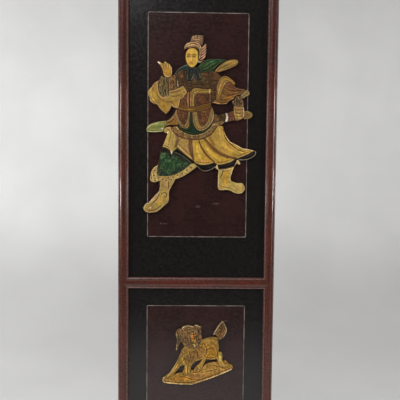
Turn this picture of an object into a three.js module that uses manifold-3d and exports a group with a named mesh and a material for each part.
// Wall plaque: two black lacquered boards in a grooved hardwood frame, each board with a pale
// stringing line round a brown field, and a low relief of butted soapstone pieces laid on it:
// a striding swordsman above, a guardian lion on its rock below.
// Millimetres. X runs across the plaque, +Z is up, the front faces -Y and the back is at y = 0.
// The origin is at the middle of the top rail's back face, where the plaque bears on the wall.
import * as THREE from "three";
import { mergeVertices } from "three/addons/utils/BufferGeometryUtils.js";
import Module from "manifold-3d";

const wasm = await Module();
wasm.setup();

// Driving dimensions of the frame
const WIDTH = 305;
const HEIGHT = 914;
const DEPTH = 25;
const STILE_WIDTH = 20;
const CROSS_RAIL_WIDTH = 22;
const CROSS_RAIL_Z = -610;
const BEAD = 3.2;
const CROWN = 1.2;
const QUIRK = 0.6;
const JOINT_GAP = 0.3;

// Boards and their grooves
const BOARD_FRONT = -18;
const BOARD_THICKNESS = 8;
const GROOVE_DEPTH = 5;
const BOARD_SLACK = 0.5;

// Stringing lines round the two fields
const LINE_WIDTH = 1.2;
const LINE_DEPTH = 1;
const LINE_CORNER = 2;
const FIELD_HALF_WIDTH = 96;
const UPPER_FIELD = { top: -90, bottom: -519 };
const LOWER_FIELD = { top: -656, bottom: -849 };

// Stonework: each figure is drawn in its own plane, with its centre here
const STONE_BACK = BOARD_FRONT - JOINT_GAP;
const SWORDSMAN_Z = -304.5;
const LION_Z = -752.5;
const EDGE_BEVEL = 0.9;
const OUTLINE_TOLERANCE = 0.36;
const CARVING_TOLERANCE = 0.95;
const STEPS_PER_SPAN = 8;
const EGG_SIDES = 22;

// Facets of the frame's rounded sections
const BEAD_FACETS = 4;
const CROWN_FACETS = 6;
const CORNER_FACETS = 2;

const TOP = STILE_WIDTH / 2;
const BOTTOM = TOP - HEIGHT;
const HALF_WIDTH = WIDTH / 2;
const INNER_HALF_WIDTH = HALF_WIDTH - STILE_WIDTH;
const OPENING_TOP = TOP - STILE_WIDTH;
const OPENING_BOTTOM = BOTTOM + STILE_WIDTH;

const COLOURS = {
  hardwood: 0x5e3428,
  lacquer: 0x241e1e,
  stringing: 0x9a8f88,
  yellow: 0xccaa5c,
  honey: 0xc2a054,
  ivory: 0xd6c090,
  tan: 0xa88c60,
  brown: 0x70502f,
  umber: 0x8a6a48,
  rose: 0x96745e,
  green: 0x486244,
  slate: 0x3c4642,
  sage: 0xa2a46e,
  black: 0x2a2828,
  grey: 0x8a7658,
};

function material(colour, roughness = 0.4) {
  const color = COLOURS[colour];
  return new THREE.MeshStandardMaterial({ color, roughness, metalness: 0, flatShading: true });
}

// Solids and meshes

function solid(geometry) {
  const bare = geometry.clone();
  bare.deleteAttribute("normal");
  bare.deleteAttribute("uv");
  const merged = mergeVertices(bare, 1e-4);
  return new wasm.Manifold(
    new wasm.Mesh({
      numProp: 3,
      vertProperties: new Float32Array(merged.attributes.position.array),
      triVerts: new Uint32Array(merged.index.array),
    }),
  );
}

function mesh(name, body, colour, roughness) {
  const made = body.getMesh();
  const geometry = new THREE.BufferGeometry();
  geometry.setAttribute("position", new THREE.BufferAttribute(made.vertProperties, 3));
  geometry.setIndex(new THREE.BufferAttribute(made.triVerts, 1));
  geometry.computeVertexNormals();
  const piece = new THREE.Mesh(geometry, material(colour, roughness));
  piece.name = name;
  return piece;
}

function box(xRange, yRange, zRange) {
  const size = [xRange, yRange, zRange].map(([low, high]) => high - low);
  const centre = [xRange, yRange, zRange].map(([low, high]) => (high + low) / 2);
  return solid(new THREE.BoxGeometry(...size).translate(...centre));
}

function shapeOf(points) {
  return new THREE.Shape(points.map(([x, z]) => new THREE.Vector2(x, z)));
}

// An upright prism: an outline in X and Z, from the plane y = back forward to y = front.
function prism(points, back, front) {
  const geometry = new THREE.ExtrudeGeometry(shapeOf(points), { depth: back - front, bevelEnabled: false });
  return solid(geometry.rotateX(Math.PI / 2).translate(0, back, 0));
}

// Frame members

function arcPoints(centre, radius, from, to, count) {
  return Array.from({ length: count + 1 }, (_, i) => {
    const angle = from + ((to - from) * i) / count;
    return [centre[0] + radius * Math.cos(angle), centre[1] + radius * Math.sin(angle)];
  });
}

// The section of a member: flat back and sides, a rounded bead along each front edge,
// a fine quirk inside each bead and a low crown between them.
function memberSection(width) {
  const half = width / 2;
  const shoulder = DEPTH - CROWN;
  const crownHalf = half - BEAD - QUIRK;
  const left = arcPoints([-half + BEAD, shoulder - BEAD], BEAD, Math.PI, Math.PI / 2, BEAD_FACETS);
  const crown = Array.from({ length: CROWN_FACETS + 1 }, (_, i) => {
    const u = -1 + (2 * i) / CROWN_FACETS;
    return [u * crownHalf, DEPTH - (CROWN + QUIRK) * u * u];
  });
  const right = left.map(([u, v]) => [-u, v]).reverse();
  return [[-half, 0], ...left, ...crown, ...right, [half, 0]];
}

function bar(width, length) {
  return new THREE.ExtrudeGeometry(shapeOf(memberSection(width)), { depth: length, bevelEnabled: false });
}

function upright(x, width) {
  return solid(bar(width, HEIGHT).rotateX(Math.PI).translate(x, 0, TOP));
}

function crosswise(z, width) {
  const turn = new THREE.Matrix4().makeBasis(
    new THREE.Vector3(0, 0, 1),
    new THREE.Vector3(0, -1, 0),
    new THREE.Vector3(1, 0, 0),
  );
  return solid(bar(width, WIDTH).applyMatrix4(turn).translate(-HALF_WIDTH, 0, z));
}

const GROOVE_Y = [BOARD_FRONT - JOINT_GAP, BOARD_FRONT + BOARD_THICKNESS + JOINT_GAP];
const PAST = 1;

// The cross rail's outline seen from the front: pointed ends at 45 degrees, grown by a clearance.
function pointedRail(clearance) {
  const half = CROSS_RAIL_WIDTH / 2;
  const shoulder = INNER_HALF_WIDTH;
  const tip = shoulder + half + clearance * Math.SQRT2;
  const rise = half + clearance;
  const reach = tip - rise;
  return [
    [-tip, CROSS_RAIL_Z],
    [-reach, CROSS_RAIL_Z - rise],
    [reach, CROSS_RAIL_Z - rise],
    [tip, CROSS_RAIL_Z],
    [reach, CROSS_RAIL_Z + rise],
    [-reach, CROSS_RAIL_Z + rise],
  ];
}

function stile(side) {
  const drop = JOINT_GAP * Math.SQRT2;
  const outer = side * HALF_WIDTH;
  const inner = side * INNER_HALF_WIDTH;
  const plan = [
    [outer, TOP - drop],
    [outer, BOTTOM + drop],
    [inner, OPENING_BOTTOM + drop],
    [inner, OPENING_TOP - drop],
  ];
  const floor = side * (INNER_HALF_WIDTH + GROOVE_DEPTH);
  const groove = [inner - side * PAST, floor].sort((a, b) => a - b);
  return upright((outer + inner) / 2, STILE_WIDTH)
    .intersect(prism(side > 0 ? plan : plan.reverse(), PAST, -DEPTH - PAST))
    .subtract(box(groove, GROOVE_Y, [BOTTOM, TOP]))
    .subtract(prism(pointedRail(JOINT_GAP), PAST, -DEPTH - PAST));
}

function endRail(edge, opening) {
  const plan = [
    [-HALF_WIDTH, edge],
    [HALF_WIDTH, edge],
    [INNER_HALF_WIDTH, opening],
    [-INNER_HALF_WIDTH, opening],
  ];
  const inward = Math.sign(opening - edge);
  const groove = [opening + inward * PAST, opening - inward * GROOVE_DEPTH].sort((a, b) => a - b);
  return crosswise((edge + opening) / 2, STILE_WIDTH)
    .intersect(prism(inward < 0 ? plan.reverse() : plan, PAST, -DEPTH - PAST))
    .subtract(box([-INNER_HALF_WIDTH - GROOVE_DEPTH, INNER_HALF_WIDTH + GROOVE_DEPTH], GROOVE_Y, groove));
}

function crossRail() {
  const half = CROSS_RAIL_WIDTH / 2;
  const across = [-HALF_WIDTH, HALF_WIDTH];
  const above = [CROSS_RAIL_Z + half - GROOVE_DEPTH, CROSS_RAIL_Z + half + PAST];
  const below = [CROSS_RAIL_Z - half - PAST, CROSS_RAIL_Z - half + GROOVE_DEPTH];
  return crosswise(CROSS_RAIL_Z, CROSS_RAIL_WIDTH)
    .intersect(prism(pointedRail(0), PAST, -DEPTH - PAST))
    .subtract(box(across, GROOVE_Y, above))
    .subtract(box(across, GROOVE_Y, below));
}

// Boards and stringing

function roundedRectangle(halfWidth, top, bottom, radius) {
  const x = halfWidth - radius;
  const corners = [
    [x, bottom + radius, -Math.PI / 2],
    [x, top - radius, 0],
    [-x, top - radius, Math.PI / 2],
    [-x, bottom + radius, Math.PI],
  ];
  return corners.flatMap(([cx, cz, from]) =>
    arcPoints([cx, cz], radius, from, from + Math.PI / 2, CORNER_FACETS),
  );
}

// A rectangular ring centred on the field's edge, `grow` wider on each side than the line itself.
function lineRing(field, grow, depth) {
  const half = LINE_WIDTH / 2 + grow;
  const ring = (offset) => {
    const halfWidth = FIELD_HALF_WIDTH + offset;
    return roundedRectangle(halfWidth, field.top + offset, field.bottom - offset, LINE_CORNER + offset);
  };
  const back = BOARD_FRONT + depth;
  const outer = prism(ring(half), back, BOARD_FRONT - grow);
  return outer.subtract(prism(ring(-half), back + PAST, BOARD_FRONT - PAST));
}

function board(top, bottom, field) {
  const reach = INNER_HALF_WIDTH + GROOVE_DEPTH - BOARD_SLACK;
  const back = BOARD_FRONT + BOARD_THICKNESS;
  return box([-reach, reach], [BOARD_FRONT, back], [bottom, top]).subtract(
    lineRing(field, JOINT_GAP, LINE_DEPTH + JOINT_GAP),
  );
}

// Outlines of the stones

// Marks a point where the outline turns sharply. All other points lie on a smooth curve.
const corner = (x, z) => [x, z, true];

function distanceToChord([x, z], [ax, az], [bx, bz]) {
  const length = Math.hypot(bx - ax, bz - az) || 1;
  return Math.abs((bx - ax) * (az - z) - (ax - x) * (bz - az)) / length;
}

// Drops the points of a fine curve that lie within the tolerance of a chord.
function simplify(points, tolerance) {
  if (points.length < 3) return points;
  const last = points.length - 1;
  const offsets = points.map((p) => distanceToChord(p, points[0], points[last]));
  const furthest = offsets.slice(1, last).reduce((best, d, i) => (d > offsets[best] ? i + 1 : best), 1);
  if (offsets[furthest] < tolerance) return [points[0], points[last]];
  const before = simplify(points.slice(0, furthest + 1), tolerance);
  const after = simplify(points.slice(furthest), tolerance);
  return [...before, ...after.slice(1)];
}

function curveThrough(points, closed = false) {
  const curve = new THREE.CatmullRomCurve3(
    points.map(([x, z]) => new THREE.Vector3(x, 0, z)),
    closed,
    "centripetal",
  );
  const spans = closed ? points.length : points.length - 1;
  return curve.getPoints(spans * STEPS_PER_SPAN).map((p) => [p.x, p.z]);
}

// Turns an outline's control points into a polygon with its sharp corners kept.
function outline(points) {
  const start = points.findIndex((p) => p[2]);
  if (start < 0) {
    const fine = curveThrough(points, true);
    const half = Math.floor(fine.length / 2);
    const first = simplify(fine.slice(0, half + 1), OUTLINE_TOLERANCE);
    const second = simplify(fine.slice(half), OUTLINE_TOLERANCE);
    return [...first.slice(0, -1), ...second.slice(0, -1)];
  }
  const turned = [...points.slice(start), ...points.slice(0, start), points[start]];
  const polygon = [];
  let run = [turned[0]];
  for (const point of turned.slice(1)) {
    run.push(point);
    if (!point[2]) continue;
    const fine = run.length > 2 ? curveThrough(run) : run;
    polygon.push(...simplify(fine, OUTLINE_TOLERANCE).slice(0, -1));
    run = [point];
  }
  return polygon;
}

// An egg on its small end, tilted clockwise seen from the front.
function egg(cx, cz, halfWidth, halfHeight, taper, tilt) {
  return Array.from({ length: EGG_SIDES }, (_, i) => {
    const angle = (i / EGG_SIDES) * 2 * Math.PI;
    const x = halfWidth * Math.cos(angle) * (1 + taper * Math.sin(angle));
    const z = halfHeight * Math.sin(angle);
    return [cx + x * Math.cos(tilt) + z * Math.sin(tilt), cz - x * Math.sin(tilt) + z * Math.cos(tilt)];
  });
}

function turnsLeft(points) {
  const area = points.reduce((sum, [x, z], i) => {
    const [nx, nz] = points[(i + 1) % points.length];
    return sum + x * nz - nx * z;
  }, 0);
  return area > 0;
}

// The polygon grown outward by a clearance, by moving each corner along its mitre.
function grown(points, clearance) {
  const ordered = turnsLeft(points) ? points : [...points].reverse();
  const count = ordered.length;
  return ordered.map(([x, z], i) => {
    const [px, pz] = ordered[(i + count - 1) % count];
    const [nx, nz] = ordered[(i + 1) % count];
    const a = new THREE.Vector2(z - pz, px - x).normalize();
    const b = new THREE.Vector2(nz - z, x - nx).normalize();
    const mitre = a.clone().add(b).normalize();
    const stretch = clearance / Math.max(mitre.dot(a), 0.5);
    return [x + mitre.x * stretch, z + mitre.y * stretch];
  });
}

// Carving

// A stone blank: the outline's prism with its front edge worked off at a bevel.
function blank(points, thickness, zCentre) {
  const bevel = Math.min(EDGE_BEVEL, thickness / 3);
  const geometry = new THREE.ExtrudeGeometry(shapeOf(points), {
    depth: thickness,
    bevelEnabled: true,
    bevelThickness: bevel,
    bevelSize: bevel,
    bevelOffset: -bevel,
    bevelSegments: 1,
  });
  const body = solid(geometry.rotateX(Math.PI / 2).translate(0, STONE_BACK + bevel, 0));
  const envelope = prism(points, STONE_BACK, STONE_BACK - thickness - PAST);
  return body.intersect(envelope).translate([0, 0, zCentre]);
}

// An engraved line: a V along a smooth path on the front face, pointed at both ends.
function engraved(path, width, depth, thickness, zCentre) {
  const points = simplify(curveThrough(path), CARVING_TOLERANCE);
  const front = STONE_BACK - thickness;
  const count = points.length;
  const positions = [];
  const ring = (i) => {
    const [x, z] = points[i];
    const [ax, az] = points[Math.max(i - 1, 0)];
    const [bx, bz] = points[Math.min(i + 1, count - 1)];
    const length = Math.hypot(bx - ax, bz - az);
    const across = [-(bz - az) / length, (bx - ax) / length];
    const swell = Math.sqrt(Math.sin((Math.PI * (i + 0.5)) / count));
    const half = (width / 2) * swell;
    return [
      [x + across[0] * half, front, z + across[1] * half],
      [x, front - depth, z],
      [x - across[0] * half, front, z - across[1] * half],
      [x, front + depth * swell, z],
    ];
  };
  const rings = points.map((_, i) => ring(i));
  const triangle = (...corners) => corners.forEach((p) => positions.push(...p));
  for (let i = 0; i + 1 < count; i += 1) {
    for (let k = 0; k < 4; k += 1) {
      const next = (k + 1) % 4;
      triangle(rings[i][k], rings[i][next], rings[i + 1][k]);
      triangle(rings[i][next], rings[i + 1][next], rings[i + 1][k]);
    }
  }
  const cap = (r, flip) => {
    triangle(...(flip ? [r[0], r[1], r[2]] : [r[2], r[1], r[0]]));
    triangle(...(flip ? [r[0], r[2], r[3]] : [r[3], r[2], r[0]]));
  };
  cap(rings[0], false);
  cap(rings[count - 1], true);
  const geometry = new THREE.BufferGeometry();
  geometry.setAttribute("position", new THREE.BufferAttribute(new Float32Array(positions), 3));
  return solid(geometry).translate([0, 0, zCentre]);
}

// The stones of the swordsman, topmost first. Each one is cut round all those before it,
// as the butted edges are on the board. Points are X and Z from the middle of the field.

const headStones = [
  {
    name: "cap_band",
    colour: "umber",
    thickness: 5.6,
    points: [
      corner(-26.4, 144), [-26.6, 149], [-24, 153.4], [-18.5, 156.6], [-10, 158.4], [-2, 156.6],
      [3.4, 152.4], [5.8, 146], [5.6, 138], [4.6, 131], corner(3.6, 126.6), corner(0.6, 126.6),
      [1.6, 133], [1.8, 140], [-0.4, 145.2], [-6, 148], [-13, 148.2], [-19.5, 146.4],
    ],
    lines: [[[-24.6, 148.4], [-17, 152.6], [-8, 153.6], [0, 150.6], [3.6, 144]]],
  },
  {
    name: "face",
    colour: "yellow",
    thickness: 5.2,
    polygon: egg(-11.4, 129.4, 13, 19, 0.16, 0.07),
    lines: [],
  },
  {
    name: "cap_crown",
    colour: "umber",
    thickness: 5,
    points: [
      corner(-16, 155), [-15.2, 160], [-13.8, 165], corner(-12.2, 169.4), [-6, 170.7], [2, 171],
      corner(8.8, 170.2), [9.6, 165.5], [9.1, 159.5], corner(7.8, 152), corner(0, 152),
    ],
    lines: [[[-12, 161.4], [-6, 163.4], [2, 162.6], [7, 159.6]]],
  },
  {
    name: "cap_wing",
    colour: "rose",
    thickness: 5.4,
    points: [
      corner(13.6, 157.4), [15, 151], [15, 141], [13.6, 132.6], [11.4, 126.6], [8.2, 122.4], [4, 119.8],
      corner(-0.6, 120.6), corner(-0.8, 126), corner(2.6, 129), [4.4, 137], [5, 146], [8.4, 151.6],
    ],
    lines: [
      [[5.6, 146.6], [9.4, 148.4], [13.8, 152]],
      [[5.4, 141], [9, 142.8], [14.2, 147]],
      [[5.2, 135.6], [8.8, 137.2], [14, 141.4]],
      [[4.6, 130.4], [8, 131.8], [12.8, 135.6]],
    ],
  },
  {
    name: "scarf_knot",
    colour: "slate",
    thickness: 5.6,
    points: [
      corner(-22.4, 104), [-18, 108.6], [-11, 110.8], [-3, 111], corner(3.4, 108.6), [2.6, 102.5],
      [4, 96], corner(6.2, 89.4), [1.6, 86.6], corner(-3.4, 87.6), [-4.4, 92], corner(-7, 97.2),
      [-9.4, 91.4], corner(-12.4, 86.4), [-17, 85.8], corner(-21.4, 87.6), [-20.6, 96],
    ],
    lines: [
      [[-9.4, 107.4], [-11.6, 102], [-16.4, 91]],
      [[-5, 107.6], [-3.6, 101], [1.4, 90.4]],
      [[-18.8, 105.4], [-13, 106], [-7.4, 108.6]],
    ],
  },
  {
    name: "collar",
    colour: "grey",
    thickness: 4.4,
    points: [
      corner(-15.4, 109), corner(-20.6, 116), [-26, 114.6], [-33, 110.4], [-39, 106], corner(-45, 97.4),
      corner(-42.6, 96.4), [-39.4, 102], [-34.4, 105.4], [-27, 105], corner(-20, 103.4),
    ],
    lines: [[[-37.6, 105.4], [-29, 109.4], [-20.4, 110.8]]],
  },
  {
    name: "scarf_lining",
    colour: "yellow",
    thickness: 4.6,
    points: [
      corner(31, 103.8), [35.4, 109.4], [40.4, 114.8], [46.6, 119.4], [53.6, 123.4], [60.6, 125.9],
      [67, 126.2], [72, 126.5], [76, 123.8], [75, 119], [70, 115], [62, 111], [54, 107.7], [46, 105.3],
      corner(38.6, 102.6),
    ],
    lines: [[[38, 108], [48, 112.4], [58, 117.4], [68, 121.6]]],
  },
  {
    name: "scarf",
    colour: "green",
    thickness: 5,
    points: [
      corner(-1, 111), [4, 117.4], corner(9.4, 121.6), [15, 125.2], [24, 126.9], [36, 127], [47, 126.8],
      corner(56.4, 125.6), [48.4, 122.4], [41, 118], [35.4, 112.4], [30.6, 107.6], corner(28.6, 105),
      [21, 103.2], [12, 101.8], corner(3, 101.4),
    ],
    lines: [
      [[6.4, 108.4], [15, 112.4], [26, 120], [38, 123.8]],
      [[9, 104.4], [19, 107.6], [29, 114.6], [38, 119.6]],
    ],
  },
];

const raisedArmStones = [
  {
    name: "raised_hand",
    colour: "yellow",
    thickness: 5,
    points: [
      corner(-78, 119.6), [-76.6, 121.2], [-72.6, 120.2], corner(-66.4, 116.6), [-64.8, 119.6],
      [-62.4, 121.2], [-60.6, 119.4], [-57, 117.6], [-53, 114.2], [-50.6, 109.6], [-49.8, 102.6],
      [-50.2, 96.4], [-52.6, 92.4], [-57.4, 91.2], [-62.4, 92], [-65.4, 95.4], [-66.8, 101.4],
      [-69, 108], [-72.4, 113.4],
    ],
    lines: [
      [[-74.6, 118.8], [-69.6, 114.6], [-65.8, 109]],
      [[-62, 118.4], [-60.4, 113.6], [-61.4, 108.6]],
    ],
  },
  {
    name: "raised_cuff",
    colour: "slate",
    thickness: 5.6,
    points: [
      corner(-69.6, 94.6), [-65.4, 91.4], corner(-58, 91), [-57.4, 84], [-57.6, 75], [-56.2, 66],
      corner(-54.8, 58.6), [-57.4, 55.8], [-62, 55.8], [-67, 54.6], [-71.4, 57.6], [-74.4, 63.6],
      [-75.6, 72.4], [-75.2, 81.4], [-73.2, 88.6],
    ],
    lines: [
      [[-69.4, 90.4], [-71.4, 80], [-71, 68], [-67.6, 57]],
      [[-65.6, 88.6], [-67, 79], [-66.2, 68], [-63.6, 57.6]],
      [[-61.6, 88.4], [-62, 79], [-61, 69], [-59, 58.6]],
    ],
  },
  {
    name: "forearm_lining",
    colour: "umber",
    thickness: 4.4,
    points: [
      corner(-60, 91.6), [-52.6, 92.4], [-47.6, 95.4], corner(-44, 97.6), [-41.6, 92.4], [-40.4, 84],
      [-39.8, 77], corner(-38, 71.8), [-43.4, 68.9], [-50, 67], corner(-60, 66.4),
    ],
    lines: [
      [[-54.2, 89], [-53.6, 80], [-52.4, 70.4]],
      [[-49, 91.6], [-47.8, 82], [-46.4, 71.6]],
      [[-44.8, 92], [-43.6, 84], [-42.4, 74.4]],
    ],
  },
  {
    name: "raised_sleeve",
    colour: "honey",
    thickness: 6,
    points: [
      corner(-73, 86), [-79, 83.2], [-84.4, 79], [-88, 73.6], [-92.4, 68.6], [-95.6, 63.8], [-95.2, 58.4],
      [-92.6, 53.6], [-91.4, 47.6], [-87.6, 43], [-82, 41.2], corner(-78, 40), [-74.4, 34.6], [-69, 28.4],
      [-65, 24.8], corner(-61.2, 22), [-57.6, 25.6], [-53.4, 30.6], corner(-50, 38.4), [-47.6, 35.6],
      [-43, 33.6], corner(-38, 33.2), [-36.6, 38], [-34.6, 43.4], corner(-33.6, 50.2), [-29.6, 51.4],
      corner(-25.6, 57.6), [-22.4, 60], [-20.6, 63.2], [-23.6, 68.2], corner(-28.6, 76), [-33.4, 73.6],
      corner(-38, 71.2), corner(-60, 66), corner(-74, 80),
    ],
    lines: [
      [[-82, 76], [-86, 66], [-85.6, 56], [-80, 49]],
      [[-78, 60], [-72, 51], [-62, 46.6], [-50, 46]],
      [[-66, 50.4], [-64.6, 42], [-61.6, 32]],
      [[-51, 62], [-41.6, 63.4], [-31, 67.6]],
      [[-50.4, 54.6], [-40, 55], [-29.8, 58.6]],
      [[-50.6, 45.6], [-49, 41.4], [-44.6, 37.4]],
    ],
  },
];

const torsoStones = [
  {
    name: "belt",
    colour: "honey",
    thickness: 5.6,
    points: [
      corner(-37.4, 36.6), [-29, 35.2], [-19, 34.8], [-9, 36.2], [3, 39.4], [14, 42], corner(25.6, 44),
      [25.2, 39], corner(25, 34.6), [16, 31.4], [6, 28.8], [-5, 26.8], [-16, 26.6], [-28, 28.4],
      corner(-39, 31),
    ],
    lines: [
      [[-34, 34], [-20, 32.6], [-6, 34], [8, 37.6], [22, 41]],
      [[-33, 31.6], [-19, 29.4], [-5, 29.8], [9, 32.6], [22, 36.4]],
    ],
  },
  {
    name: "chest_trim",
    colour: "tan",
    thickness: 5.2,
    points: [
      corner(-12.4, 33), [-12.2, 50], [-12.6, 64], [-10.6, 69.6], [-5, 71.8], [4, 71.4], [14, 69.8],
      corner(25.2, 71), corner(25.4, 62.4), [16, 61.4], [7, 62], [-0.6, 61.4], [-4.6, 58], [-6.2, 52],
      [-6, 42], corner(-5.6, 33),
    ],
    lines: [[[-9.4, 36], [-9.2, 52], [-8.6, 62.4], [-3, 66.6], [8, 66.8], [22, 66.2]]],
  },
  {
    name: "left_tasset",
    colour: "brown",
    thickness: 4.8,
    points: [
      corner(-40.4, 32), [-39.2, 24], [-36.6, 16], [-32.8, 9.4], [-29.4, 3.6], [-26.6, 1.8], [-23.6, 4.4],
      [-20.8, 10], [-19.2, 18], corner(-18.4, 32),
    ],
    lines: [
      [[-38, 24], [-30, 20.6], [-21, 22.6]],
      [[-35.6, 16.6], [-29, 13.6], [-21.6, 15.4]],
      [[-32, 9.6], [-27.4, 7.4], [-23.2, 8.8]],
    ],
  },
  {
    name: "left_tasset_border",
    colour: "tan",
    thickness: 4.4,
    points: [
      corner(-42, 32), [-43.8, 25], corner(-47.6, 19.6), [-43.4, 13.6], [-39.4, 7.4], [-35.4, 1.6],
      [-30.4, -3.2], [-24.6, -5.2], [-19.4, -4], [-16.8, 0.6], [-16.4, 9], [-15.4, 18], corner(-13.8, 32),
    ],
    lines: [],
  },
  {
    name: "right_tasset",
    colour: "brown",
    thickness: 5,
    points: [
      corner(-2.8, 34), [-0.6, 22], [1, 12], [3.4, 4.6], [7.4, -0.6], [12, 1.4], [16.6, 6.4], [19.6, 13],
      [21.6, 21], corner(27.4, 38), corner(12, 38),
    ],
    lines: [
      [[1, 24.6], [10, 21.4], [20, 24.4]],
      [[2.4, 16.6], [10, 13.4], [18.4, 16.4]],
      [[4.6, 9.2], [10, 6.6], [15.4, 8.8]],
    ],
  },
  {
    name: "right_tasset_border",
    colour: "tan",
    thickness: 4.6,
    points: [
      corner(-10.4, 34), [-9.8, 20], [-8.8, 9], [-6.2, 0], [-1.4, -6.2], [5, -9.2], [12, -7.8],
      [18.6, -3.4], [24.4, 2.6], [28.6, 9], [30.8, 16], [31.2, 24], [29, 31], corner(26.6, 37),
      corner(10, 38),
    ],
    lines: [[[-5.8, 24], [-5.2, 12], [-2, 2], [5.4, -5], [14, -1.6], [22, 7.6]]],
  },
  {
    name: "left_pauldron",
    colour: "brown",
    thickness: 5,
    points: [
      corner(-44, 97), [-40.4, 103], [-34.6, 106], corner(-26.6, 105.4), [-25.4, 97], [-26.2, 88],
      [-27.6, 80], corner(-29.6, 74), corner(-40, 70), [-39.6, 80], [-41, 90],
    ],
    lines: [
      [[-38.6, 98], [-38.8, 88], [-36.6, 77]],
      [[-37, 88.6], [-32, 86], [-28, 88]],
      [[-36, 81], [-32.4, 79], [-29.4, 80.4]],
    ],
  },
  {
    name: "right_pauldron",
    colour: "brown",
    thickness: 4.8,
    points: [
      corner(19.8, 104), [27, 104.8], [34, 103.2], [39, 99.4], corner(43.6, 94), [40.8, 88], [37.8, 81],
      [35, 75], [35.4, 67], [34.8, 58], [33.6, 51.4], corner(25.8, 44.2), [26.4, 54], corner(25.8, 64),
      [24.6, 72], [21.6, 82], [20, 94],
    ],
    lines: [
      [[23.8, 90], [30, 86.6], [36.6, 86.8]],
      [[24.6, 81.6], [29.6, 78.6], [34.2, 78.6]],
    ],
  },
  {
    name: "breastplate",
    colour: "brown",
    thickness: 4.6,
    points: [
      corner(-27, 106), corner(20.4, 106), [20.4, 92], [22, 81], corner(25.4, 70), corner(-12, 68),
      corner(-20.6, 64.6), corner(-30, 75), [-27, 86], [-26, 96],
    ],
    lines: [[[-22, 82], [-10, 78.6], [4, 78.4], [19, 80.4]]],
  },
  {
    name: "waist_right",
    colour: "umber",
    thickness: 4.6,
    points: [
      corner(-7.4, 30), corner(-7.4, 64), corner(25.4, 64), [26.2, 54], corner(25.4, 40), corner(25, 30),
    ],
    lines: [
      [[22, 60.6], [22.4, 52], [21.6, 44]],
      [[-2.4, 46], [0, 54.6], [8, 58.4], [17.4, 57]],
    ],
  },
  {
    name: "waist_left",
    colour: "umber",
    thickness: 4.4,
    points: [
      corner(-38.4, 30), corner(-38, 40), corner(-33, 52), corner(-25, 60), corner(-20, 66),
      corner(-11, 71), corner(-11, 30),
    ],
    lines: [
      [[-15, 66], [-15.8, 52], [-14.4, 37.6]],
      [[-19, 62.6], [-20, 50], [-18, 37.6]],
      [[-31.6, 49], [-26, 44], [-23.6, 37.6]],
    ],
  },
  {
    name: "apron",
    colour: "green",
    thickness: 4,
    points: [
      corner(-16.4, 30), corner(-10, 30), [-8, 12], [-6.4, -3], corner(2, -7.4), corner(26.4, 1.2),
      [19.4, -6.4], [11, -12], [1.4, -15.6], [-9, -16.4], [-20, -13.4], [-29.6, -9], corner(-41, 0.6),
      [-33, -1.4], corner(-18, -3.4), [-17, 8],
    ],
    lines: [
      [[-12.8, 22], [-12.6, 8], [-11, -6]],
      [[-31, -5.4], [-21, -9.6], [-11, -12], [0, -11.6]],
    ],
  },
];

const weaponStones = [
  {
    name: "sword_hand",
    colour: "yellow",
    thickness: 6,
    points: [
      corner(69.6, 39.6), [75, 38.4], [81, 38.6], corner(87.6, 38), [88.6, 32], [89.8, 25], [89.4, 18.6],
      [85.4, 14.6], [79, 12], [73.6, 11.2], [71.2, 14.6], [69.6, 20], [68.6, 27], [68.8, 33.6],
    ],
    lines: [
      [[73, 32.6], [78, 31], [84.6, 32.2]],
      [[71.8, 25.4], [78, 23.8], [86.4, 25.4]],
      [[72.6, 18.6], [78.6, 17.4], [85.4, 19]],
    ],
  },
  {
    name: "guard",
    colour: "grey",
    thickness: 4.8,
    points: [
      corner(27.6, 26.4), [34, 23], [41, 21.8], corner(51.6, 25), [53, 17], corner(52.4, 8.4), [44, 7.4],
      corner(27.4, 4.4), [30.4, 12],
    ],
    lines: [
      [[37.4, 21], [38.4, 14.6], [37.6, 8]],
      [[42.6, 21.2], [43.8, 14.6], [42.8, 9]],
      [[47.6, 22.4], [48.8, 15.6], [47.8, 9.4]],
    ],
  },
  {
    name: "grip",
    colour: "rose",
    thickness: 5.2,
    points: [
      corner(52, 25.4), [58.6, 25.6], [64, 28.2], corner(69.8, 29.4), corner(72, 11.4), [64.6, 10.6],
      [58, 8.8], corner(51.8, 8), [53.6, 16],
    ],
    lines: [
      [[58.8, 24.6], [60.2, 17], [58.4, 10]],
      [[64.4, 26.8], [66, 19], [64.2, 11.8]],
    ],
  },
  {
    name: "pommel",
    colour: "tan",
    thickness: 5,
    points: [
      corner(88.6, 28.6), [94, 29.6], [100, 28.2], [104.4, 24.8], [105, 20.8], [102.4, 17], [97, 14.8],
      corner(88.6, 14.2), [90.4, 21],
    ],
    lines: [[[94.8, 28], [95.8, 22], [94.6, 16.2]]],
  },
  {
    name: "blade",
    colour: "sage",
    thickness: 4.4,
    points: [
      corner(-98, -7.6), [-96.8, -2.4], [-93, 1.6], [-86.6, 4.6], [-78.6, 6.6], [-70, 8.6],
      corner(-60.4, 9.4), corner(-58.6, 2), [-63.6, -3.6], corner(-67, -11.6), [-78, -12.6], [-88, -13],
      corner(-97.6, -12.4),
    ],
    lines: [[[-96.4, -9.6], [-88, -10], [-78, -10], [-67.6, -9.2]]],
  },
  {
    name: "sash",
    colour: "honey",
    thickness: 4.4,
    points: [
      corner(-62.6, 9.2), [-57.6, 10.4], [-53, 13.8], corner(-48, 19.8), corner(-40, 10), corner(-37, 1),
      [-44, 0.6], [-52, 1.4], [-58.6, -0.6], corner(-66, -7.2), [-64, 0],
    ],
    lines: [[[-62, 3.6], [-54, 6.2], [-47.6, 11], [-45, 14.6]]],
  },
];

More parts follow.
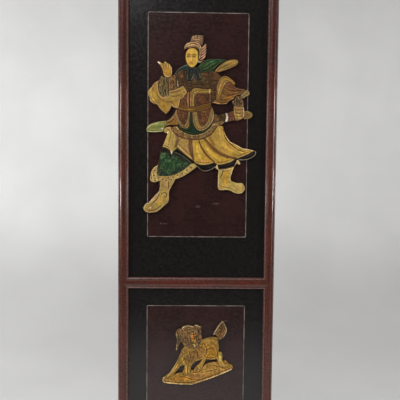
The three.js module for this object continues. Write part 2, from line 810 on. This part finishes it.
const swordArmStones = [
  {
    name: "right_cuff",
    colour: "grey",
    thickness: 5,
    points: [
      corner(72.8, 57.8), corner(79.4, 58.8), [83, 54.8], [86.4, 50.4], corner(88.4, 39), [81, 38],
      [75, 37.4], corner(69.4, 39.2), [66.4, 44.4], corner(64.4, 47.4), [68.6, 50], corner(71.4, 54),
    ],
    lines: [
      [[74.6, 55], [74.4, 48], [73.6, 41]],
      [[78.6, 55], [79, 48], [78.6, 41]],
      [[82.6, 52], [83.8, 46], [83.6, 41]],
    ],
  },
  {
    name: "cuff_flare",
    colour: "sage",
    thickness: 4.4,
    points: [
      corner(81, 57.8), [84.6, 62.4], corner(90.4, 68.8), [94, 69.4], [98, 66.4], [98.8, 62.4],
      corner(96.8, 59.2), [91.6, 57.4], corner(87, 53.6), [84.2, 54.2],
    ],
    lines: [],
  },
  {
    name: "sleeve_edge",
    colour: "tan",
    thickness: 5.4,
    points: [
      corner(36.6, 47.4), [34.8, 56], [36, 66], [35.6, 74.6], [38.4, 82], [41.4, 89], [45.6, 93.6],
      [51, 95], [56.6, 93.8], [61.6, 90.4], [66.6, 86.6], [70.4, 82.2], corner(70.2, 78.4), [66.4, 80.4],
      [62, 83.6], [57.2, 84.6], [53.4, 82.2], [50, 76.4], [47, 70], [44, 62.6], [41, 55],
    ],
    lines: [
      [[39, 54], [39.8, 64], [41, 73], [45.4, 83.6], [51.4, 89.6], [59, 87.8], [66, 83.6]],
    ],
  },
  {
    name: "right_sleeve",
    colour: "umber",
    thickness: 4.8,
    points: [
      corner(52, 86), corner(66, 84), corner(68.8, 77), [74.4, 73.2], [81, 71.4], corner(90.6, 70.8),
      [87.4, 66.6], corner(81.4, 59.2), [76, 59.6], corner(71.6, 57.4), [69, 53.4], [63.6, 50.4],
      [58.4, 46.6], [55, 42.8], [48, 41.8], [38, 42.2], corner(26, 44.8), [31, 48.4], corner(36, 52),
    ],
    lines: [
      [[52, 72], [60, 67.6], [72, 66.8], [84, 67.8]],
      [[47.6, 61], [57, 58.4], [69, 60.4], [78, 62.6]],
      [[43.6, 51.6], [51, 49.6], [60, 52.6]],
    ],
  },
];

const skirtStones = [
  {
    name: "tunic_hem",
    colour: "umber",
    thickness: 4.8,
    points: [
      corner(-51.4, -3.4), [-46, -1.6], corner(-40, -1.4), [-32, -9], [-21, -14.4], [-10, -17.2],
      [1.4, -16.4], [11.4, -12.8], [20, -7.2], corner(26.4, 0.6), corner(26.8, 4.2), [38, 6.6],
      corner(52, 8.4), [47, 3.4], [42, 1.6], corner(38, -0.6), [34.4, -6], [29.6, -12], [22, -18.6],
      [12, -23.8], [0, -26.4], [-14, -26.4], [-28, -23.6], [-37.4, -19.6], [-44.6, -14.2], [-49, -9],
    ],
    lines: [
      [[-44, -5.6], [-36, -13.6], [-24, -19.6], [-8, -22.4], [6, -20.6], [17, -15], [27, -6.6]],
    ],
  },
  {
    name: "skirt_front",
    colour: "yellow",
    thickness: 6,
    points: [
      corner(-12, -28), corner(-4, -26), corner(12, -24), corner(18.6, -29.6), [26, -38], [36, -47.4],
      [47, -54.6], [59, -59.8], corner(72.4, -62.2), [67, -66.4], [59, -69.8], [49, -72.6],
      corner(38, -73.4), corner(33, -69.4), [24, -72.6], [12, -74.2], [1, -72.6], corner(-5, -70),
      [-8.6, -60], [-9.6, -46],
    ],
    lines: [
      [[-3.4, -31], [-4.4, -45], [-1.6, -58], [5.4, -68]],
      [[3.4, -33.4], [9, -44], [18, -55.6], [31.6, -67.6]],
      [[8, -29.6], [17, -41.6], [29, -54], [45, -65]],
      [[17, -32.6], [27, -44.4], [41, -54.6], [60, -63]],
      [[-2, -69], [10, -70.6], [24, -68.6]],
      [[40, -70.4], [52, -69], [63, -65]],
    ],
  },
  {
    name: "skirt_middle",
    colour: "yellow",
    thickness: 4.8,
    points: [
      corner(-30, -22), corner(-8, -26), [-7.6, -46], corner(-5, -68), [-13, -63], [-24, -54.4],
      corner(-38.6, -42.4), [-39.4, -38], [-36.6, -31],
    ],
    lines: [
      [[-17.4, -30], [-18.4, -42], [-16.4, -55]],
      [[-12, -30], [-12.8, -46], [-9.6, -61]],
      [[-33.6, -38.6], [-25, -46.6], [-16, -54]],
    ],
  },
  {
    name: "skirt_left",
    colour: "yellow",
    thickness: 5,
    points: [
      corner(-50, -2.4), [-57, -2.4], [-62.4, -4.4], corner(-66.4, -9.4), [-62.8, -13.4],
      corner(-57.6, -15), [-60.8, -23], [-64, -32], corner(-67.4, -40.6), [-60, -42.6],
      corner(-53.4, -46.6), corner(-50, -56.4), corner(-46, -48.4), corner(-38, -41.6), [-37, -37],
      [-33.6, -30], corner(-28, -20),
    ],
    lines: [
      [[-56.6, -13], [-53, -8], [-52, -5]],
      [[-49, -14], [-52, -25], [-54.6, -38]],
      [[-42.4, -20], [-44.6, -29], [-46, -40]],
      [[-62.6, -37.6], [-54, -40.4], [-44.6, -40.6]],
    ],
  },
  {
    name: "skirt_right",
    colour: "yellow",
    thickness: 5.4,
    points: [
      corner(38, 2), corner(48.4, 0), [51, -9], [55.4, -19], corner(62.6, -29.4), [69.6, -32.4],
      [78.6, -37.6], [88, -42], [98, -43.2], corner(109.4, -46), [103.4, -49.8], [94.6, -54], [85, -58],
      corner(76, -61.4), [66, -62], [54, -59], [41, -52.6], [29, -42.6], corner(12, -24), corner(26, -17),
    ],
    lines: [
      [[50, -13], [55, -24], [63, -35.4], [75.6, -46], [88, -50]],
      [[36, -9], [38, -24], [46.6, -39.6], [62, -51.6]],
      [[25, -21], [33, -35], [46, -48.4], [62, -56.6]],
      [[66, -34], [76, -41.6], [90, -46.4]],
    ],
  },
  {
    name: "hem_left",
    colour: "black",
    thickness: 4,
    points: [
      corner(-1, -76), corner(4, -72), corner(32, -71), corner(36.6, -72.6), [36, -77], [30.4, -81.4],
      [23, -85], [15, -86.6], [8, -84.8], [3, -80.4],
    ],
    lines: [],
  },
  {
    name: "hem_middle",
    colour: "black",
    thickness: 4,
    points: [
      corner(39.6, -72.6), corner(60, -66), corner(75, -61), corner(75.4, -66.4), [72.8, -72],
      corner(70, -77.4), [61, -80], [51.6, -82], corner(42.4, -83), [40, -78.4],
    ],
    lines: [],
  },
  {
    name: "hem_right",
    colour: "black",
    thickness: 4,
    points: [
      corner(76.6, -60.6), corner(92, -52), corner(107.6, -46), [111.6, -46.6], [113.4, -49.6],
      [111.4, -54.6], [106, -59], [99, -62.6], [90, -64.4], corner(79, -64.2),
    ],
    lines: [],
  },
];

const legStones = [
  {
    name: "trouser_band",
    colour: "slate",
    thickness: 5,
    points: [
      corner(-67, -41), corner(-60, -42), corner(-53, -46), corner(-50, -52), corner(-46, -47),
      corner(-38, -41), [-26, -51], [-14, -61.4], corner(-4.6, -68.6), corner(-3.6, -71.4),
      corner(-12, -72), [-23, -64.2], [-34, -57], corner(-44.6, -53), corner(-50, -58.6),
      corner(-55, -52.6), [-61, -50.4], corner(-69.4, -49.8),
    ],
    lines: [[[-43, -50.4], [-33, -55.2], [-21.6, -63], [-12, -70.2]]],
  },
  {
    name: "trouser_panel",
    colour: "green",
    thickness: 4.8,
    points: [
      corner(-69.4, -46), corner(-60, -46), corner(-50, -53), corner(-44, -49), corner(-10, -70),
      [-18.4, -77], [-28, -85], [-38.6, -91.2], [-49, -95], [-62, -96.6], corner(-76.4, -95.4),
      [-76.6, -84], [-73.8, -70], [-71.4, -56],
    ],
    lines: [
      [[-70.4, -62], [-58, -57.6], [-45, -59], [-32, -65.6]],
      [[-72.6, -72], [-60, -67.6], [-45, -68.6], [-26, -76]],
      [[-74.6, -82], [-62, -77.6], [-47, -78.4], [-31, -83.6]],
      [[-74.4, -90.6], [-62, -87], [-50, -87.4], [-40, -89.4]],
    ],
  },
  {
    name: "trouser_border",
    colour: "ivory",
    thickness: 4.4,
    points: [
      corner(-65, -40.6), corner(-67.6, -41), [-70.6, -49], [-72.6, -60], [-75, -70], corner(-76.4, -75.6),
      [-82, -79], [-87, -84.6], [-89.4, -91], [-90, -97], [-91.4, -102], [-88, -107.4], [-81.6, -108.8],
      corner(-74.6, -106.4), [-66, -107], [-56, -105.4], corner(-50, -103.6), [-42, -101.8], [-34, -99.8],
      [-25, -95.4], [-15.6, -89.4], [-7.6, -83], corner(0.6, -77), [-2.6, -74], corner(-8, -70.4),
      corner(-20, -72),
    ],
    lines: [
      [[-81, -82], [-84.6, -92], [-82.6, -101], [-72, -101.6]],
      [[-62, -101], [-48, -98.8], [-34, -93.6], [-20, -84.8]],
    ],
  },
  {
    name: "left_boot",
    colour: "yellow",
    thickness: 5.2,
    points: [
      corner(-72.4, -104), [-71.8, -114], [-72.4, -121], corner(-74.4, -126.6), [-80, -132.4],
      [-86.4, -140], corner(-93.6, -148.6), [-98, -150], [-101.6, -154], [-103.2, -159], [-101.6, -163.4],
      [-97, -166.8], [-88, -167.4], [-78, -165.6], [-70.4, -160], [-62.6, -153.4], corner(-55.8, -147),
      [-54.2, -139], [-54.6, -131], [-53.4, -123.6], [-49.6, -116.4], corner(-41, -101), corner(-56, -100),
    ],
    lines: [
      [[-70, -129.6], [-64.6, -127.4], [-58.6, -128.6], [-56.6, -133.4], [-59, -138.6], [-64.6, -139.6],
        [-67.8, -135.6], [-65, -131.6], [-61.4, -133.4]],
      [[-56, -108.6], [-55.4, -115], [-57, -122]],
      [[-72.6, -131], [-77.4, -139], [-84.6, -147.4], [-92, -152.4]],
      [[-99.6, -157], [-93, -161.4], [-82, -160.6], [-70, -152], [-60, -145.4]],
    ],
  },
  {
    name: "right_boot",
    colour: "yellow",
    thickness: 5.2,
    points: [
      corner(38.4, -70.4), corner(34, -79.4), corner(41.2, -84.4), [40.4, -94], [40.2, -106], [40.2, -117],
      [42.4, -121.8], [48, -122.8], [56, -122.2], [62, -122.6], [67.6, -125.4], [74, -128.2], [81, -129.2],
      [87, -127.8], [91, -123.6], [92.6, -118.6], [90.4, -112.8], [86, -108.6], [79.6, -108.8],
      [72.6, -107.4], corner(65.6, -104.6), [64.4, -99], [66.4, -91.6], [69, -84], [72, -76],
      corner(76, -70.6), corner(81, -73.2), corner(83, -71.6), corner(78.8, -63.4), corner(60, -74),
    ],
    lines: [
      [[50.8, -85], [48.6, -92], [45.4, -99]],
      [[43, -114.6], [52, -116.6], [62, -116.4], [72, -121.6], [84, -123.4]],
      [[46, -107.4], [54, -110.4], [64, -108.6]],
    ],
  },
];

// The lion's stones, topmost first, from the middle of the figure.
const lionStones = [
  {
    name: "lion_head",
    colour: "grey",
    thickness: 6,
    points: [
      [-39.2, 42], [-38, 47.6], [-33.6, 51], corner(-28.6, 52.4), [-24.4, 56.4], [-18, 58.4], [-10.6, 57.8],
      corner(-5, 56.4), [-1.4, 59.2], [3, 59.2], corner(6.6, 57), [10.6, 56.4], [11.8, 52.6],
      corner(10.6, 48.4), [12, 43.6], corner(10.6, 40), [13, 35], corner(12, 31), [10.6, 26.6],
      [6.8, 21.6], [2.6, 16], corner(-2, 12.4), [-9, 12.6], [-17, 15], corner(-22.6, 17.4), [-25.4, 22.4],
      corner(-28.6, 27), [-32, 20.4], corner(-37.6, 5), [-38.4, 12], [-37.4, 20], [-36.4, 28], [-37.4, 35],
    ],
    lines: [
      [[-31.6, 46], [-27, 42], [-28.6, 36.6], [-33.4, 36.4]],
      [[-25, 51.6], [-17, 53], [-8.6, 50.4], [-3, 46]],
      [[-2, 54.4], [3.4, 51], [3.6, 45.6], [-0.6, 43]],
      [[-22, 44], [-17.6, 47], [-13, 43.6]],
      [[-17, 36], [-13.6, 30], [-15.4, 23.4]],
      [[-9.4, 40.6], [-8.4, 31], [-4.6, 21]],
      [[-0.2, 40.6], [0.6, 31], [-1.6, 21]],
    ],
  },
  {
    name: "lion_tail",
    colour: "grey",
    thickness: 5,
    points: [
      corner(52.6, 68), [47.8, 61.6], [42.4, 54.6], [37.6, 46.4], corner(34.6, 39.6), [39.6, 39.4],
      corner(42.8, 35.6), corner(44.6, 29.4), [50, 30.2], [55.4, 35.4], [59.4, 42.4], [61.4, 49.6],
      [58.8, 57.4], [56, 63],
    ],
    lines: [
      [[46.4, 34.6], [49.6, 45], [52, 60]],
      [[48.4, 41], [44, 46], [41.6, 49.6]],
      [[49.6, 44], [54.6, 46.4], [58, 51]],
    ],
  },
  {
    name: "lion_body",
    colour: "tan",
    thickness: 5.4,
    points: [
      corner(-22, 16), [-26.6, 9], [-30.4, 1], [-32.4, -6], [-36, -13], [-40.6, -21], [-45.4, -29.4],
      [-51, -37], corner(-60.4, -45.4), [-55, -48.6], corner(-47, -46.6), [-42.6, -40.4], [-37.6, -34],
      [-32.6, -27.4], [-28, -22.6], corner(-21.4, -21.6), [-22, -28], corner(-26.4, -36.6), [-22.6, -41],
      [-16, -42], corner(-10, -38.6), [-9, -32], [-8.4, -25.4], [-5.4, -19.6], corner(-2.6, -16.4),
      [3.6, -12.6], [10, -11], corner(14.6, -8.4), [10.4, -14.4], [4, -21.4], [-1.6, -28.6],
      corner(-3, -33.6), [3, -36], corner(10.6, -32.6), [13.4, -26.4], [17, -18], corner(21.4, -9),
      [27, -9.8], [34, -9.4], corner(42.8, -9), [45, -15], corner(46.6, -21.4), [53, -25], [60.6, -26.6],
      corner(67.6, -24.6), [63, -19], corner(57, -16.6), [53.8, -13], [53.6, -6], [53, 1], [50, 5.6],
      corner(46, 5), [46, 12], [45.4, 20], [44.6, 26], corner(44.4, 33.6), [37, 34.8], [28, 34.2],
      [20, 32.4], corner(12, 30),
      corner(0, 14),
    ],
    lines: [
      [[-24.6, 4], [-20, -4], [-24, -12], [-29, -15]],
      [[44.6, 6], [44.2, -2], [46.2, -10]],
      [[20, -4.6], [27, -7], [36, -5.6], [42, -2]],
      [[14, 24], [22, 15], [24, 4], [21, -2]],
      [[-14, 8], [-10, -2], [-12, -12]],
      [[2, 8], [4.6, -1], [2.4, -8]],
      [[-15, -24], [-16.4, -32], [-17.6, -38]],
    ],
  },
  {
    name: "lion_base",
    colour: "honey",
    thickness: 4.4,
    points: [
      corner(-58, -44), [-62.6, -46], [-65, -51], corner(-61.4, -57.6), [-50, -59.2], [-34, -60],
      [-18, -60.8], corner(-6, -61), [6, -57], [20, -52.4], [34, -47.4], [48, -41.6], [62, -35],
      [72.4, -30.2], [74.8, -26], [72, -21], [66.4, -18.6], corner(59.6, -11), corner(53.6, -14),
      corner(44.6, -14.6), [36, -15.6], [27, -16.8], corner(20, -19.4), corner(11, -30.6), [2, -31.6],
      corner(-8.6, -32), corner(-24, -36.6), [-33, -37], corner(-42, -41), [-48, -41.6],
    ],
    lines: [
      [[-58, -54.6], [-40, -56], [-14, -56.8], [0, -54]],
      [[2, -53.2], [24, -46], [46, -37.6], [68, -27.6]],
      [[-36, -43.6], [-22, -46], [-8, -50], [6, -51]],
      [[14, -37], [28, -33.4], [44, -29.6]],
      [[28, -24], [38, -22], [46, -24.6], [58, -29]],
    ],
  },
];

const LINE_CUT = { width: 1.3, depth: 0.7 };

// Carves one figure's stones in order, cutting each round the stones already laid.
function carve(stones, zCentre) {
  const laid = [];
  return stones.map(({ name, colour, thickness, points, polygon, lines }) => {
    const edge = polygon ?? outline(points);
    let body = blank(edge, thickness, zCentre);
    for (const cutter of laid) body = body.subtract(cutter);
    for (const line of lines) {
      body = body.subtract(engraved(line, LINE_CUT.width, LINE_CUT.depth, thickness, zCentre));
    }
    const largest = body.decompose().sort((a, b) => b.volume() - a.volume())[0];
    laid.push(prism(grown(edge, JOINT_GAP), STONE_BACK + PAST, -DEPTH - PAST).translate([0, 0, zCentre]));
    return mesh(name, largest, colour, 0.35);
  });
}

const plaque = new THREE.Group();

const frame = new THREE.Group();
frame.add(
  mesh("left_stile", stile(-1), "hardwood"),
  mesh("right_stile", stile(1), "hardwood"),
  mesh("top_rail", endRail(TOP, OPENING_TOP), "hardwood"),
  mesh("cross_rail", crossRail(), "hardwood"),
  mesh("bottom_rail", endRail(BOTTOM, OPENING_BOTTOM), "hardwood"),
);

const grooveReach = GROOVE_DEPTH - BOARD_SLACK;
const railHalf = CROSS_RAIL_WIDTH / 2;
const panels = new THREE.Group();
panels.add(
  mesh(
    "upper_board",
    board(OPENING_TOP + grooveReach, CROSS_RAIL_Z + railHalf - grooveReach, UPPER_FIELD),
    "lacquer",
  ),
  mesh(
    "lower_board",
    board(CROSS_RAIL_Z - railHalf + grooveReach, OPENING_BOTTOM - grooveReach, LOWER_FIELD),
    "lacquer",
  ),
  mesh("upper_line", lineRing(UPPER_FIELD, 0, LINE_DEPTH), "stringing"),
  mesh("lower_line", lineRing(LOWER_FIELD, 0, LINE_DEPTH), "stringing"),
);

const swordsman = new THREE.Group();
swordsman.add(
  ...carve(
    [
      ...headStones,
      ...raisedArmStones,
      ...torsoStones,
      ...weaponStones,
      ...swordArmStones,
      ...skirtStones,
      ...legStones,
    ],
    SWORDSMAN_Z,
  ),
);

const lion = new THREE.Group();
lion.add(...carve(lionStones, LION_Z));

plaque.add(frame, panels, swordsman, lion);

export default plaque;
